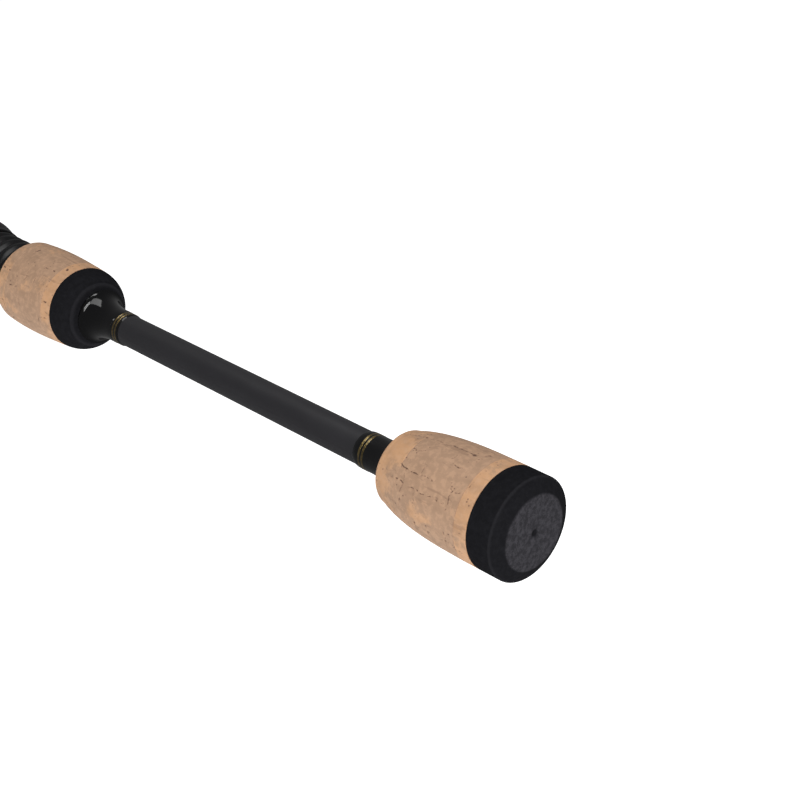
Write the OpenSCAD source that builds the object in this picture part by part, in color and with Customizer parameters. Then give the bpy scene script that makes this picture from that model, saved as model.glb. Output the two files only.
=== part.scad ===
// Split-grip ice fishing rod with a sliding-hood spinning reel seat.
// Millimetres. The origin is the centre of the butt face, +X runs to the tip, +Z is up.
// The reel foot and the line guides are on the underside, -Z.

/* [Whole rod] */
// Length of the rod from butt face to the far end of the tip ring
rod_length = 914; // [860:1:1150]
// Radius of the handle tube
tube_r = 4.87; // [4.7:0.01:6]
// Radius of the blank where it is glued into the handle
blank_butt_r = 3.85; // [3.2:0.01:4.4]
// Radius of the blank at its tip
blank_tip_r = 0.9; // [0.7:0.01:1.4]
// Depth of the hole in the butt cap that the handle tube sits in
tube_socket = 6.8; // [4:0.1:9]

/* [Rear grip] */
// Radius of the foam butt cap and of the cork beside it
butt_r = 14; // [12:0.1:18]
// Length of the foam butt cap
butt_cap_len = 9.8; // [8:0.1:16]
// Chamfer of the butt cap along the rod
butt_chamfer_len = 2.2; // [1:0.1:4]
// Width of the butt cap's chamfer across the rod
butt_chamfer_w = 4.2; // [1:0.1:6]
// Radius of the hollow worn in the middle of the butt face
butt_dimple_r = 1.6; // [0.8:0.1:3]
// Depth of that hollow
butt_dimple_depth = 0.5; // [0.2:0.1:1]
// Length of the thin cork ring beside the butt cap
rear_end_ring_len = 4.2; // [3:0.1:8]
// Length of the rear grip's long cork ring
rear_body_ring_len = 22.6; // [16:0.1:30]
// Length of the rear grip's rounded front cork ring
rear_nose_ring_len = 9.8; // [7:0.1:14]
// Radius of the rear grip at its front shoulder
rear_shoulder_r = 10.6; // [9:0.1:13]
// Rounding of the rear grip's front edge
rear_nose_round = 2; // [1:0.1:3]

/* [Thread wraps] */
// Thickness of an epoxied thread wrap
wrap_t = 0.3; // [0.2:0.05:0.6]
// Length of the wrap in front of the rear grip
rear_wrap_len = 14; // [10:0.1:20]
// Length of the wrap behind the middle winding check
mid_wrap_len = 3.5; // [3:0.1:8]
// Width of one gold line
gold_w = 0.7; // [0.4:0.05:1.2]
// Gap between the two gold lines of a pair
gold_gap = 0.6; // [0.3:0.05:1]
// Height of a gold line above the wrap
gold_proud = 0.04; // [0.02:0.01:0.1]
// Distance from the rear grip to the rear gold lines
rear_gold_gap = 9.8; // [7:0.1:10]
// Distance from the middle wrap's rear end to its gold lines
mid_gold_gap = 0.9; // [0.6:0.05:1.4]

/* [Middle grip] */
// Distance from the butt face to the middle winding check
mid_check_s = 172; // [150:1:210]
// Length of the middle winding check
mid_check_len = 13.2; // [10:0.1:15]
// Radius of the middle winding check at its wide rim
mid_check_rim_r = 8.8; // [8:0.1:11]
// Length of the middle foam ring
mid_eva_len = 8.7; // [8:0.1:14]
// Radius of the middle foam ring
mid_eva_r = 13.3; // [12.6:0.1:15]
// Length of the thin cork ring beside the middle foam ring
mid_end_ring_len = 4.6; // [3:0.1:8]
// Length of the middle grip's long cork ring
mid_body_ring_len = 21; // [16:0.1:28]
// Length of the cork ring beside the reel seat
mid_front_ring_len = 5; // [3:0.1:8]
// Radius of the middle grip at its widest
mid_bulge_r = 14.2; // [13:0.1:16]
// Radius of the middle grip where it meets the reel seat
mid_front_r = 13.7; // [12:0.1:14]

/* [Reel seat] */
// Length of the reel seat
seat_len = 120; // [116:1:130]
// Radius over the crests of the seat's thread
seat_r = 11.4; // [11:0.1:13]
// Height of the collar behind the thread over the thread's crests
seat_collar_h = 0.6; // [0.3:0.1:1.5]
// Length of the collar behind the thread
seat_collar_len = 4.5; // [3:0.1:6]
// Distance between the crests of the thread
thread_pitch = 4.8; // [3:0.1:6]
// Depth of the thread
thread_depth = 0.9; // [0.5:0.05:1.2]
// Number of crests on the thread
thread_crests = 9; // [8:1:10]
// Radius of the bore through the reel seat
seat_bore_r = 7.6; // [6.2:0.1:8]
// Depth of the flat that the reel foot lies on
saddle_cut = 1.8; // [1:0.1:2.4]
// Depth of the seat's waist between the hoods
waist_cut = 0.9; // [0.4:0.1:1.4]
// Width of the keyway that stops the sliding hood turning
key_w = 4.2; // [3:0.1:6]
// Running clearance between the seat and what slides or turns on it
run_gap = 0.06; // [0.03:0.01:0.1]
// Gap between parts that must not touch
free_gap = 0.3; // [0.2:0.05:0.5]

/* [Locking nut and hoods] */
// Distance from the seat's rear end to the locking nut in the stored position
nut_s = 24.5; // [20:0.1:26]
// Length of the locking nut
nut_len = 20; // [18:0.1:24]
// Wall of the locking nut at its rear edge
nut_rear_wall = 0.54; // [0.4:0.01:1.2]
// Wall of the locking nut at its grip
nut_grip_wall = 2.14; // [2:0.01:4.5]
// Length of the nut's flare from its rear edge to its grip
nut_flare_len = 8; // [6:0.5:11]
// Number of finger grooves round the nut
nut_grooves = 16; // [8:1:20]
// Length of a hood
hood_len = 22; // [20:0.1:26]
// Wall of a hood's round sleeve
hood_sleeve_wall = 2.04; // [1.5:0.01:3]
// Wall of the pocket that holds the reel foot
hood_wall = 1.6; // [1.2:0.1:2]
// Radius of the pocket's dome
pocket_r = 9.6; // [8.8:0.1:10.4]
// Height of the pocket at its mouth, over the flat
pocket_h = 5.8; // [5:0.1:7]
// Depth of the pocket
pocket_depth = 12; // [10:0.1:14]
// Width of the pocket
pocket_w = 14; // [12:0.1:15]
// Slope of the pocket towards its mouth
pocket_slope = 12; // [8:0.5:14]
// Length of the spigot that joins the hood to the nut
spigot_len = 4; // [3:0.1:5]

/* [Fore grip] */
// Length of the fore grip's long cork ring
fore_body_ring_len = 19; // [14:0.1:26]
// Length of the thin cork ring beside the front foam ring
fore_end_ring_len = 5; // [3:0.1:8]
// Radius of the fore grip at its widest
fore_bulge_r = 13; // [12.6:0.1:14.5]
// Radius of the fore grip where it meets the foam ring
fore_front_r = 11.2; // [10.5:0.1:12.4]
// Length of the front foam ring
fore_eva_len = 8; // [6:0.1:12]
// Length of the front winding check
front_check_len = 11.8; // [9:0.1:14]
// Radius of the front winding check at its wide rim
front_check_rim_r = 7.6; // [6.6:0.1:9]

/* [Hook keeper] */
// Distance from the front winding check to the hook keeper
keeper_s = 10; // [6:0.5:30]
// Radius of the hook keeper's loop
keeper_loop_r = 2.6; // [2:0.1:4]
// Radius of the hook keeper's wire
keeper_wire_r = 0.5; // [0.4:0.05:0.8]

/* [Line guides] */
// Number of line guides on the blank, without the tip ring
guide_count = 5; // [3:1:7]
// Distance from the front winding check to the first guide's ring
first_guide_s = 92; // [70:1:120]
// Inner radius of the first guide's ceramic ring
first_ring_r = 7; // [5:0.1:9]
// Inner radius of the last guide's ceramic ring
last_ring_r = 3; // [2.6:0.1:4]
// Inner radius of the tip's ceramic ring
tip_ring_r = 2.6; // [2.2:0.1:3.5]
// Gap between the blank and the first guide's ring
first_guide_drop = 9; // [6:0.1:14]
// Gap between the blank and the last guide's ring
last_guide_drop = 3.2; // [2.5:0.1:5]
// Thickness of a ceramic ring across its wall
ring_t = 0.9; // [0.7:0.05:1.3]
// Width of a ceramic ring along the rod
ring_w = 2; // [1.6:0.1:3]
// Radius of the guides' wire
wire_r = 0.6; // [0.45:0.05:0.8]
// Length of a guide's foot on the blank
foot_len = 9; // [7:0.1:13]

/* [Hidden] */
$fn = 96;
eps = 0.01;

// Where ring n of a grip starts, if its rings have the lengths lens and the grip starts at s
function ring_start(s, lens, n) = n == 1 ? s : ring_start(s, lens, n - 1) + lens[n - 2];
rear_rings = [rear_end_ring_len, rear_body_ring_len, rear_nose_ring_len];
mid_rings = [mid_end_ring_len, mid_body_ring_len, mid_front_ring_len];
fore_rings = [fore_body_ring_len, fore_end_ring_len];

// Handle stations, measured from the butt face
rear_cork_s = butt_cap_len;
rear_wrap_s = ring_start(rear_cork_s, rear_rings, 4);
rear_gold_s = rear_wrap_s + rear_gold_gap;
mid_wrap_s = mid_check_s - mid_wrap_len;
mid_gold_s = mid_wrap_s + mid_gold_gap;
mid_eva_s = mid_check_s + mid_check_len;
mid_cork_s = mid_eva_s + mid_eva_len;
seat_s = ring_start(mid_cork_s, mid_rings, 4);
seat_end_s = seat_s + seat_len;
fore_eva_s = ring_start(seat_end_s, fore_rings, 3);
front_check_s = fore_eva_s + fore_eva_len;
blank_free_s = front_check_s + front_check_len;

// Tube and blank
tube_in_seat = 26;
blank_behind_check = 20;
tip_tube_len = 10;
tip_overhang = 4;
tube_s = butt_cap_len - tube_socket;
tube_end_s = seat_s + tube_in_seat;
blank_s = mid_check_s + blank_behind_check;
blank_end_s = rod_length - tip_overhang;
tube_bore_r = blank_butt_r;
arbor_len = 16;
rear_arbor_inset = 4;
front_arbor_inset = 6;

// Reel seat
thread_s = seat_s + seat_collar_len;
thread_len = thread_crests * thread_pitch;
thread_end_s = thread_s + thread_len;
saddle_s = thread_end_s + 1;
saddle_end_s = seat_end_s - 8;
fixed_hood_len = 20;
fixed_mouth_s = seat_end_s - fixed_hood_len;
waist_s = saddle_s + 22;
waist_end_s = fixed_mouth_s - 4;
nut_rear_s = seat_s + nut_s;
hood_s = nut_rear_s + nut_len + free_gap;
hood_end_s = hood_s + hood_len;
slide_bore_r = seat_r + run_gap;
seat_collar_r = seat_r + seat_collar_h;
saddle_z = seat_r - saddle_cut;
waist_r = seat_r - waist_cut;
nut_rear_r = slide_bore_r + nut_rear_wall;
nut_grip_r = slide_bore_r + nut_grip_wall;
hood_sleeve_r = slide_bore_r + hood_sleeve_wall;
dome_z = -(saddle_z + pocket_h - pocket_r);
hood_step = 0.9;
fore_rear_r = hood_sleeve_r - hood_step;
key_depth = 1.2;
key_len = 4;
key_root = 0.5;
key_z = seat_r - key_depth;
spigot_wall = 0.7;
spigot_rib_h = 0.35;
spigot_r = slide_bore_r + spigot_wall;
spigot_rib_r = spigot_r + spigot_rib_h;
spigot_rib_w = 1.2;
rib_gap = 0.15;

// Line guides
keeper_mid_s = blank_free_s + keeper_s;
keeper_leg_len = 5;
keeper_half = keeper_loop_r + keeper_leg_len;
first_guide_x = blank_free_s + first_guide_s;
tip_ring_x = rod_length - ring_w / 2;
guide_run = tip_ring_x - first_guide_x;
foot_t = 0.7;
foot_w = 1.8;
hoop_t = 0.7;
leg_angle = 35;
weld = 0.12;
guide_wrap_t = 0.35;
tip_tube_t = 0.35;

// How far along the guides' part of the blank guide i stands: the gaps close up to the tip
function guide_share(i) = i / guide_count * (1 + 0.35 * (1 - i / guide_count));
function guide_x(i) = first_guide_x + guide_run * guide_share(i);
function mix(a, b, t) = a + (b - a) * t;
function guide_t(i) = i / max(1, guide_count - 1);
function guide_ring_r(i) = mix(first_ring_r, last_ring_r, sqrt(guide_t(i)));
function guide_drop(i) = mix(first_guide_drop, last_guide_drop, sqrt(guide_t(i)));
function blank_r(x) =
    x <= blank_free_s ? blank_butt_r
    : mix(blank_butt_r, blank_tip_r, (x - blank_free_s) / (blank_end_s - blank_free_s));
function ring_z(i) = -(blank_r(guide_x(i)) + guide_drop(i) + guide_ring_r(i));

// ---- Building blocks ----

// Turns a profile of [station, radius] points about the rod's axis
module turned(profile) {
    rotate([90, 0, 90]) rotate_extrude() polygon([for (p = profile) [p[1], p[0]]]);
}

// A plain cylinder along the rod
module round_bar(x, len, r) {
    translate([x, 0, 0]) rotate([0, 90, 0]) cylinder(h = len, r = r);
}

// A ring of rectangular section along the rod
module sleeve(x, len, r_out, r_in) {
    turned([[x, r_in], [x + len, r_in], [x + len, r_out], [x, r_out]]);
}

// Points of a quarter round from one radius to another
function quarter(x, r, dx, dr, from, to) =
    [for (a = [from : (to - from) / 6 : to]) [x + dx * sin(a), r + dr * cos(a)]];

// A round wire from p to q
module wire(p, q, r) {
    d = q - p;
    flat = norm([d[0], d[1]]);
    translate(p) rotate([0, atan2(flat, d[2]), atan2(d[1], d[0])]) cylinder(h = norm(d), r = r, $fn = 24);
}

// ---- Rear grip ----

module butt_cap() {
    color("#151515") difference() {
        turned([
            [0, 0], [0, butt_r - butt_chamfer_w], [butt_chamfer_len, butt_r],
            [butt_cap_len, butt_r], [butt_cap_len, 0]
        ]);
        round_bar(tube_s, tube_socket + 1, tube_r);
        translate([butt_dimple_depth - butt_dimple_r, 0, 0]) sphere(r = butt_dimple_r);
    }
}

// Radius of the rear grip at a share t of its length from the butt cap
function rear_grip_r(t) = butt_r - (butt_r - rear_shoulder_r) * pow(t, 3.3);

module rear_cork_ring(n) {
    x0 = ring_start(rear_cork_s, rear_rings, n);
    x1 = x0 + rear_rings[n - 1];
    nose_x = x1 - rear_nose_round;
    last = n == 3;
    body_x1 = last ? nose_x : x1;
    outline = [
        for (k = [0:8]) let (x = mix(x0, body_x1, k / 8))
            [x, rear_grip_r((x - rear_cork_s) / (rear_wrap_s - rear_nose_round - rear_cork_s))]
    ];
    nose = last
        ? quarter(nose_x, rear_shoulder_r - rear_nose_round, rear_nose_round, rear_nose_round, 15, 90)
        : [];
    color("#d9ae7c") turned(concat([[x1, tube_r], [x0, tube_r]], outline, nose));
}

// ---- Wraps, gold lines and winding checks on the handle tube ----

module rear_wrap() {
    wrap_r = tube_r + wrap_t;
    bead = 0.2;
    color("#0b0b0c") turned([
        [rear_wrap_s, tube_r], [rear_wrap_s, wrap_r], [rear_wrap_s + 3, wrap_r + bead],
        [rear_wrap_s + 4.5, wrap_r + bead], [rear_wrap_s + 6.5, wrap_r],
        [rear_wrap_s + rear_wrap_len - 0.8, wrap_r], [rear_wrap_s + rear_wrap_len, tube_r]
    ]);
}

module gold_lines(x) {
    color("#c9a13b") for (k = [0:1])
        sleeve(x + k * (gold_w + gold_gap), gold_w, tube_r + wrap_t + gold_proud, tube_r + wrap_t);
}

module handle_tube() {
    color("#26272a") sleeve(tube_s, tube_end_s - tube_s, tube_r, tube_bore_r);
}

module mid_wrap() {
    wrap_r = tube_r + wrap_t;
    color("#0b0b0c") turned([
        [mid_wrap_s, tube_r], [mid_wrap_s + 0.6, wrap_r],
        [mid_check_s, wrap_r], [mid_check_s, tube_r]
    ]);
}

// A trumpet that widens from r0 to r1 in the direction dir, with a rounded rim
module winding_check(x, len, dir, r_in, r0, r1) {
    neck = 3;
    rim = 0.7;
    flare = [
        for (k = [0:8]) let (a = 90 * k / 8)
            [x + dir * (neck + (len - neck - rim) * sin(a)), r0 + (r1 - r0) * (1 - cos(a))]
    ];
    color("#0d0d0f") turned(concat(
        [[x, r_in], [x, r0]], flare,
        [[x + dir * (len - rim / 2), r1 - 0.1], [x + dir * len, r1 - 0.5]],
        [[x + dir * len, r_in]]
    ));
}

module mid_check() {
    winding_check(mid_check_s, mid_check_len, 1, tube_r, tube_r + wrap_t + 0.1, mid_check_rim_r);
}

// ---- Middle grip ----

module mid_foam_ring() {
    groove_r = mid_check_rim_r - 0.6;
    ridge_r = mid_eva_r - 2.9;
    color("#121212") turned([
        [mid_eva_s, tube_r], [mid_eva_s, groove_r - 0.4], [mid_eva_s + 0.5, groove_r],
        [mid_eva_s + 0.9, ridge_r - 0.7], [mid_eva_s + 1.5, ridge_r],
        [mid_eva_s + 2.2, ridge_r + 0.15], [mid_eva_s + 3, mid_eva_r - 1.9],
        [mid_eva_s + 4.8, mid_eva_r - 0.8], [mid_eva_s + 6.4, mid_eva_r - 0.3],
        [mid_cork_s, mid_eva_r], [mid_cork_s, tube_r]
    ]);
}

// Radius of the middle grip at a share t of its length: a swell, then a taper to the seat
function mid_grip_r(t) = t < 0.65
    ? mid_eva_r + (mid_bulge_r - mid_eva_r) * sin(90 * t / 0.65)
    : mid_front_r + (mid_bulge_r - mid_front_r) * cos(90 * (t - 0.65) / 0.35);

module mid_cork_ring(n) {
    x0 = ring_start(mid_cork_s, mid_rings, n);
    x1 = x0 + mid_rings[n - 1];
    outline = [
        for (k = [0:8]) let (x = mix(x0, x1, k / 8))
            [x, mid_grip_r((x - mid_cork_s) / (seat_s - mid_cork_s))]
    ];
    color("#d9ae7c") turned(concat([[x1, tube_r], [x0, tube_r]], outline));
}

// ---- Reel seat ----

// One round crest of the thread after another, down to its root between them
function thread_outline() = [
    for (k = [0:thread_crests - 1], j = [0:7]) let (a = 360 * j / 8)
        [thread_s + thread_pitch * (k + j / 8), seat_r - thread_depth * (1 + cos(a)) / 2]
];

// The round body of the seat, before the flat and the keyway are cut
module seat_blank() {
    turned(concat(
        [[seat_end_s, seat_bore_r], [seat_s, seat_bore_r], [seat_s, seat_collar_r - 0.4]],
        [[seat_s + 0.4, seat_collar_r], [seat_s + 2.6, seat_collar_r]],
        [[thread_s - 0.4, seat_r - 0.5]],
        thread_outline(),
        [[thread_end_s, seat_r - thread_depth], [thread_end_s + 0.6, seat_r], [waist_s, seat_r]],
        [for (a = [20:20:340])
            [mix(waist_s, waist_end_s, a / 360), seat_r - (seat_r - waist_r) * (1 - cos(a)) / 2]],
        [[waist_end_s, seat_r], [seat_end_s, seat_r]]
    ));
}

module seat_body() {
    color("#161618") difference() {
        seat_blank();
        translate([saddle_s, -seat_r, -seat_r - 1])
            cube([saddle_end_s - saddle_s, 2 * seat_r, seat_r + 1 - saddle_z]);
        translate([thread_s, -key_w / 2, -seat_r - 1])
            cube([saddle_s - thread_s + eps, key_w, key_depth + 1]);
    }
}

module seat_arbor_rear() {
    color("#8a8577") sleeve(seat_s + rear_arbor_inset, arbor_len, seat_bore_r, tube_r);
}

module seat_arbor_front() {
    start = seat_end_s - front_arbor_inset - arbor_len;
    color("#8a8577") sleeve(start, arbor_len, seat_bore_r, blank_butt_r);
}

// A sloping cylinder that is the pocket's dome, x = 0 at the pocket's mouth, open to +X
module dome(r, len) {
    translate([0, 0, dome_z]) rotate([0, pocket_slope, 0])
        translate([-len, 0, 0]) rotate([0, 90, 0]) cylinder(h = 2 * len, r = r);
}

// The outside of a hood with its mouth at x = 0 and its round sleeve behind it
module hood_shell(len) {
    intersection() {
        dome(pocket_r + hood_wall, 2 * len);
        translate([-(len - 5), -hood_sleeve_r - 2, -30]) cube([len - 5, 2 * hood_sleeve_r + 4, 30]);
    }
    turned([
        [-len, 0], [-len, hood_sleeve_r - 0.8], [-len + 0.8, hood_sleeve_r],
        [-7, hood_sleeve_r], [-2, hood_sleeve_r - 0.6], [0, hood_sleeve_r - 1.1], [0, 0]
    ]);
}

// The pocket that the reel foot slides into
module pocket() {
    intersection() {
        dome(pocket_r, 3 * pocket_depth);
        translate([-pocket_depth, -pocket_w / 2, -40]) cube([pocket_depth + 1, pocket_w, 40]);
    }
}

module fixed_hood() {
    color("#1b1b1d") translate([fixed_mouth_s, 0, 0]) mirror([1, 0, 0]) difference() {
        hood_shell(fixed_hood_len);
        round_bar(-fixed_hood_len - 1, fixed_hood_len + 2, seat_r);
        pocket();
    }
}

module sliding_hood() {
    spigot_s = -hood_len - spigot_len;
    color("#1b1b1d") translate([hood_end_s, 0, 0]) {
        difference() {
            union() {
                hood_shell(hood_len);
                round_bar(spigot_s, spigot_len + eps, spigot_r);
                round_bar(spigot_s, spigot_rib_w, spigot_rib_r);
            }
            round_bar(spigot_s - 1, hood_len + spigot_len + 2, slide_bore_r);
            pocket();
        }
        // Key that runs in the seat's keyway and then in the flat
        translate([-hood_len, -key_w / 2 + run_gap, -slide_bore_r - key_root])
            cube([key_len, key_w - 2 * run_gap, key_root + slide_bore_r - key_z - run_gap]);
    }
}

// Share of the nut's flare at a share t of its length: quick at first, then level
function nut_flare(t) = t < 0.2
    ? 0.14 * pow(t / 0.2, 2)
    : 0.14 + 0.86 * sin(90 * (t - 0.2) / 0.8);

module locking_nut() {
    flare_x = nut_rear_s + 2;
    grip_x = flare_x + nut_flare_len;
    front = nut_rear_s + nut_len;
    groove_r = 0.9;
    groove_depth = 0.45;
    flare = [
        for (k = [0:12]) [mix(flare_x, grip_x, k / 12), mix(nut_rear_r, nut_grip_r, nut_flare(k / 12))]
    ];
    color("#141416") difference() {
        turned(concat(
            [[nut_rear_s, 0], [nut_rear_s, nut_rear_r - 0.25], [nut_rear_s + 0.4, nut_rear_r]],
            flare,
            quarter(front - 1, nut_grip_r - 1, 1, 1, 0, 90),
            [[front, 0]]
        ));
        round_bar(nut_rear_s - 1, nut_len + 2, slide_bore_r);
        round_bar(hood_s - spigot_len - free_gap, spigot_len + 1, spigot_r + run_gap);
        round_bar(hood_s - spigot_len - rib_gap, spigot_rib_w + 2 * rib_gap, spigot_rib_r + run_gap);
        for (k = [0:nut_grooves - 1]) rotate([360 * (k + 0.5) / nut_grooves, 0, 0])
            translate([grip_x - 2, 0, nut_grip_r + groove_r - groove_depth]) rotate([0, 90, 0])
                cylinder(h = nut_len, r = groove_r, $fn = 24);
    }
}

// ---- Fore grip ----

// Radius of the fore grip at a share t of its cork
function fore_grip_r(t) = t < 0.3
    ? mix(fore_rear_r, fore_bulge_r, sin(90 * t / 0.3))
    : fore_front_r + (fore_bulge_r - fore_front_r) * cos(90 * (t - 0.3) / 0.7);

module fore_cork_ring(n) {
    x0 = ring_start(seat_end_s, fore_rings, n);
    x1 = x0 + fore_rings[n - 1];
    outline = [
        for (k = [0:8]) let (x = mix(x0, x1, k / 8))
            [x, fore_grip_r((x - seat_end_s) / (fore_eva_s - seat_end_s))]
    ];
    color("#d9ae7c") turned(concat([[x1, blank_butt_r], [x0, blank_butt_r]], outline));
}

module fore_foam_ring() {
    front = front_check_s;
    color("#121212") turned([
        [fore_eva_s, blank_butt_r], [fore_eva_s, fore_front_r], [front - 4, fore_front_r - 0.5],
        [front - 1.8, fore_front_r - 1.4], [front - 0.6, front_check_rim_r + 0.4],
        [front, front_check_rim_r - 0.8], [front, blank_butt_r]
    ]);
}

module front_check() {
    winding_check(blank_free_s, front_check_len, -1, blank_butt_r, blank_butt_r + 0.5,
                  front_check_rim_r);
}

// ---- Blank and hook keeper ----

// A thread wrap under epoxy with rounded ends: r0 and r1 at its ends, r between them
module epoxy_wrap(x, len, r0, r1, r, round_len) {
    turned(concat(
        [[x, 0]],
        [for (a = [0:15:90]) [x + round_len * (1 - cos(a)), r0 + (r - r0) * sin(a)]],
        [for (a = [90:-15:0]) [x + len - round_len * (1 - cos(a)), r1 + (r - r1) * sin(a)]],
        [[x + len, 0]]
    ));
}

module blank() {
    color("#1d1e21") turned([
        [blank_s, 0], [blank_s, blank_butt_r], [blank_free_s, blank_butt_r],
        [blank_end_s, blank_tip_r], [blank_end_s, 0]
    ]);
}

module hook_keeper() {
    leg_z = blank_butt_r + keeper_wire_r;
    color("#b9bcc0") difference() {
        union() {
            translate([keeper_mid_s, 0, leg_z]) rotate([90, 0, 0])
                rotate_extrude(angle = 180) translate([keeper_loop_r, 0])
                    circle(r = keeper_wire_r, $fn = 24);
            for (side = [-1, 1])
                wire([keeper_mid_s + side * keeper_loop_r, 0, leg_z],
                     [keeper_mid_s + side * keeper_half, 0, leg_z], keeper_wire_r);
            for (side = [-1, 1]) translate([keeper_mid_s + side * keeper_loop_r, 0, leg_z])
                sphere(r = keeper_wire_r, $fn = 24);
        }
        blank();
    }
}

module keeper_wraps() {
    len = 4.4;
    r = blank_butt_r + 2 * keeper_wire_r + guide_wrap_t;
    color("#0b0b0c") difference() {
        for (side = [-1, 1])
            let (x = keeper_mid_s + side * (keeper_half - len / 2 + 1) - len / 2)
                epoxy_wrap(x, len, r - 0.8, r - 0.8, r, 1.2);
        blank();
        hook_keeper();
    }
}

// ---- Line guides ----

// A ceramic ring with rounded lips round a straight bore, its centre at [x, 0, z]
module ceramic_ring(x, z, r_in) {
    lip = 0.4;
    half = ring_w / 2;
    translate([x, 0, z]) color("#3a3d42") turned(concat(
        [for (a = [0:22.5:90]) [-half + lip * (1 - sin(a)), r_in + lip * (1 - cos(a))]],
        [[-half, r_in + ring_t], [half, r_in + ring_t]],
        [for (a = [0:22.5:90]) [half - lip * (1 - cos(a)), r_in + lip * (1 - sin(a))]]
    ));
}

// The metal hoop that holds a ceramic ring
module hoop(x, z, r_in) {
    inner = r_in + ring_t;
    half = ring_w / 2 - 0.3;
    translate([x, 0, z]) turned([
        [-half, inner], [half, inner], [half, inner + hoop_t - 0.2], [half - 0.2, inner + hoop_t],
        [-half + 0.2, inner + hoop_t], [-half, inner + hoop_t - 0.2]
    ]);
}

// Where a leg leaves the hoop, on the side given by -1 or 1
function leg_start(x, z, r_in, side) = let (hold = r_in + ring_t + hoop_t / 2)
    [x, side * hold * cos(leg_angle), z + hold * sin(leg_angle)];

// Two wire legs from a hoop's sides to a foot at foot_x, under the blank
module legs(x, z, r_in, foot_x) {
    foot_z = -(blank_r(foot_x) + foot_t / 2 + 0.15);
    for (side = [-1, 1]) {
        to = [foot_x, side * foot_w / 4, foot_z];
        wire(leg_start(x, z, r_in, side), to, wire_r);
        translate(to) sphere(r = wire_r + weld, $fn = 24);
    }
}

// A flat foot along the underside of the blank, from x in the direction dir
module foot(x, dir) {
    low = blank_r(x) + foot_t;
    translate([dir > 0 ? x : x - foot_len, -foot_w / 2, -low]) cube([foot_len, foot_w, low]);
}

// Where guide i's feet start: the front foot, and the rear foot of the first two guides
function front_foot_x(i) = guide_x(i) + guide_drop(i) * 0.55 + 1;
function rear_foot_x(i) = guide_x(i) - guide_drop(i) * 0.9 - 2;
function two_feet(i) = i < 2;

module guide_frame(i) {
    x = guide_x(i);
    z = ring_z(i);
    r_in = guide_ring_r(i);
    color("#33363b") difference() {
        union() {
            hoop(x, z, r_in);
            for (side = [-1, 1]) translate(leg_start(x, z, r_in, side)) sphere(r = wire_r + weld, $fn = 24);
            legs(x, z, r_in, front_foot_x(i));
            foot(front_foot_x(i), 1);
            if (two_feet(i)) {
                legs(x, z, r_in, rear_foot_x(i));
                foot(rear_foot_x(i), -1);
            }
        }
        blank();
        translate([x, 0, z]) round_bar(-ring_w, 2 * ring_w, r_in + ring_t);
    }
}

module guide_ring(i) {
    ceramic_ring(guide_x(i), ring_z(i), guide_ring_r(i));
}

// A thread wrap over a foot, with the foot and the blank cut out of it
module guide_wrap(i, x, dir) {
    len = foot_len + 2;
    start = dir > 0 ? x + 1.4 : x - 1.4 - len;
    r0 = blank_r(start) + 0.1;
    r1 = blank_r(start + len) + 0.1;
    bulge = max(r0, r1) + foot_t + guide_wrap_t;
    difference() {
        epoxy_wrap(start, len, r0, r1, bulge, 2.4);
        blank();
        guide_frame(i);
    }
}

module guide_wraps(i) {
    color("#0b0b0c") {
        guide_wrap(i, front_foot_x(i), 1);
        if (two_feet(i)) guide_wrap(i, rear_foot_x(i), -1);
    }
}

// ---- Tip ----

tip_tube_s = blank_end_s - tip_tube_len;
tip_ring_z = -(blank_tip_r + tip_tube_t + tip_ring_r + ring_t + 0.6);
tip_tube_r = blank_r(tip_tube_s) + tip_tube_t;

module tip_tube() {
    color("#33363b") difference() {
        round_bar(tip_tube_s, tip_tube_len + 1, tip_tube_r);
        blank();
    }
}

module tip_frame() {
    x = tip_ring_x;
    hold = tip_ring_r + ring_t + hoop_t / 2;
    color("#33363b") difference() {
        union() {
            hoop(x, tip_ring_z, tip_ring_r);
            for (side = [-1, 1])
                wire(leg_start(x, tip_ring_z, tip_ring_r, side),
                     [tip_tube_s + 3, side * 0.7, -tip_tube_r], wire_r);
            wire([x, 0, tip_ring_z + hold], [blank_end_s - 2, 0, -tip_tube_r], wire_r);
        }
        round_bar(tip_tube_s - 2, tip_tube_len + 3 + eps, tip_tube_r);
        translate([x, 0, tip_ring_z]) round_bar(-4 * ring_w, 8 * ring_w, tip_ring_r + ring_t);
    }
}

module tip_ring() {
    ceramic_ring(tip_ring_x, tip_ring_z, tip_ring_r);
}

module tip_wrap() {
    len = 5;
    start = tip_tube_s - 3.5;
    color("#0b0b0c") difference() {
        epoxy_wrap(start, len, blank_r(start) + 0.1, tip_tube_r + 0.05, tip_tube_r + 0.3, 1.5);
        blank();
        tip_tube();
    }
}

butt_cap();
for (n = [1:3]) rear_cork_ring(n);
rear_wrap();
gold_lines(rear_gold_s);  // rear_gold_lines
handle_tube();
mid_wrap();
gold_lines(mid_gold_s);  // mid_gold_lines
mid_check();
mid_foam_ring();
for (n = [1:3]) mid_cork_ring(n);
seat_body();
seat_arbor_rear();
seat_arbor_front();
fixed_hood();
sliding_hood();
locking_nut();
for (n = [1:2]) fore_cork_ring(n);
fore_foam_ring();
front_check();
blank();
hook_keeper();
keeper_wraps();
for (i = [1:guide_count]) {
    guide_frame(i - 1);
    guide_ring(i - 1);
    guide_wraps(i - 1);
}
tip_tube();
tip_frame();
tip_ring();
tip_wrap();
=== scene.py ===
"""A split-grip ice fishing rod.

Cork and foam grips, epoxied wraps, a screw-locking reel seat and line guides, built round the fixed frame.
"""

import math

import bpy
import numpy as np
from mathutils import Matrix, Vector, noise


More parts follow.
